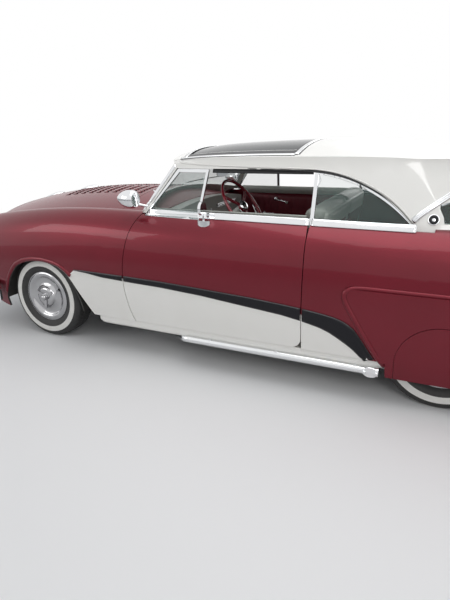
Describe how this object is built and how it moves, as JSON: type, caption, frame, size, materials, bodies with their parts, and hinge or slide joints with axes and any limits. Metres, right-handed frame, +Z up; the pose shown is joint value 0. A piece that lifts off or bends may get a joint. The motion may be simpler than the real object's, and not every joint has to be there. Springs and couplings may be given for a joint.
{
  "type": "1950s two-door hardtop car",
  "caption": "Lowered two-door hardtop of the 1950s with tinted roof panel, rear skirts, side pipes, opening doors, hood and trunk, and steered front wheels.",
  "frame": {"origin": "On the ground, at the middle of the length and width of the bounding box.", "axes": "+Z up, nose towards -Y, driver's side towards +X."},
  "size_m": [1.89, 5.1356, 1.5385],
  "materials": {
    "burgundy_paint": "gloss metallic",
    "white_paint": "gloss",
    "bright_trim": "polished",
    "clear_glass": "clear",
    "tinted_glass": "dark tint",
    "red_lens": "gloss",
    "tyre_rubber": "matte",
    "seat_vinyl": "satin",
    "black_steel": "satin",
    "engine_iron": "satin",
    "dash_paint": "satin",
    "wheel_plastic": "gloss"
  },
  "bodies": {
    "body": {"front_fender_left": "burgundy_paint", "front_fender_right": "burgundy_paint", "cowl": "burgundy_paint", "grille": "bright_trim", "front_bumper": "bright_trim", "rear_bumper": "bright_trim", "quarter_panel_left": "burgundy_paint", "quarter_panel_right": "burgundy_paint", "fender_skirts": "burgundy_paint", "rocker_panels": "white_paint", "roof": "white_paint", "roof_glass": "tinted_glass", "windshield": "clear_glass", "rear_window": "clear_glass", "quarter_windows": "bright_trim", "rear_deck": "burgundy_paint", "floor_pan": "black_steel", "chassis_frame": "black_steel", "engine": "engine_iron", "exhaust": "bright_trim", "fuel_tank": "black_steel", "rear_axle": "black_steel", "front_suspension": "black_steel", "front_seat": "seat_vinyl", "rear_seat": "seat_vinyl", "dashboard": "dash_paint", "spotlights": "bright_trim", "headlights": "clear_glass", "tail_lights": "red_lens"},
    "hood": {"hood": "burgundy_paint"},
    "trunk_lid": {"trunk_lid": "burgundy_paint"},
    "door_left": {"door_left": "burgundy_paint", "vent_window_left": "bright_trim", "door_mirror": "bright_trim"},
    "door_right": {"door_right": "burgundy_paint", "vent_window_right": "bright_trim"},
    "knuckle_left": {"knuckle_left": "black_steel"},
    "knuckle_right": {"knuckle_right": "black_steel"},
    "wheel_front_left": {"wheel_front_left": "bright_trim", "tyre_front_left": "tyre_rubber"},
    "wheel_front_right": {"wheel_front_right": "bright_trim", "tyre_front_right": "tyre_rubber"},
    "wheel_rear_left": {"wheel_rear_left": "bright_trim", "tyre_rear_left": "tyre_rubber"},
    "wheel_rear_right": {"wheel_rear_right": "bright_trim", "tyre_rear_right": "tyre_rubber"},
    "steering_wheel": {"steering_wheel": "wheel_plastic"}
  },
  "joints": [
    {"name": "steer_left", "type": "hinge", "parent": "body", "child": "knuckle_left", "pos_m": [0.6505, -1.73, 0.345], "axis": [0, 0, 1], "range_deg": [-32, 32]},
    {"name": "steer_right", "type": "hinge", "parent": "body", "child": "knuckle_right", "pos_m": [-0.6505, -1.73, 0.345], "axis": [0, 0, 1], "range_deg": [-32, 32]},
    {"name": "steering_wheel_turn", "type": "hinge", "parent": "body", "child": "steering_wheel", "pos_m": [0.38, -0.15, 1.085], "axis": [0, 0.8192, 0.5736], "range_deg": [-672, 672]},
    {"name": "wheel_spin_front_left", "type": "hinge", "parent": "knuckle_left", "child": "wheel_front_left", "pos_m": [0.7365, -1.73, 0.345], "axis": [1, 0, 0], "continuous": true},
    {"name": "wheel_spin_front_right", "type": "hinge", "parent": "knuckle_right", "child": "wheel_front_right", "pos_m": [-0.7365, -1.73, 0.345], "axis": [1, 0, 0], "continuous": true},
    {"name": "wheel_spin_rear_left", "type": "hinge", "parent": "body", "child": "wheel_rear_left", "pos_m": [0.711, 1.267, 0.345], "axis": [1, 0, 0], "continuous": true},
    {"name": "wheel_spin_rear_right", "type": "hinge", "parent": "body", "child": "wheel_rear_right", "pos_m": [-0.711, 1.267, 0.345], "axis": [1, 0, 0], "continuous": true},
    {"name": "door_left_hinge", "type": "hinge", "parent": "body", "child": "door_left", "pos_m": [0.929, -0.862, 0.7], "axis": [0, 0, -1], "range_deg": [0, 65]},
    {"name": "door_right_hinge", "type": "hinge", "parent": "body", "child": "door_right", "pos_m": [-0.929, -0.862, 0.7], "axis": [0, 0, 1], "range_deg": [0, 65]},
    {"name": "hood_hinge", "type": "hinge", "parent": "body", "child": "hood", "pos_m": [0, -1.033, 1.17], "axis": [-1, 0, 0], "range_deg": [0, 48]},
    {"name": "trunk_hinge", "type": "hinge", "parent": "body", "child": "trunk_lid", "pos_m": [0, 1.816, 1.092], "axis": [1, 0, 0], "range_deg": [0, 60]}
  ],
  "couplings": [
    {"joint": "steer_right", "follows": "steer_left", "ratio": 1},
    {"joint": "steering_wheel_turn", "follows": "steer_left", "ratio": 21}
  ]
}
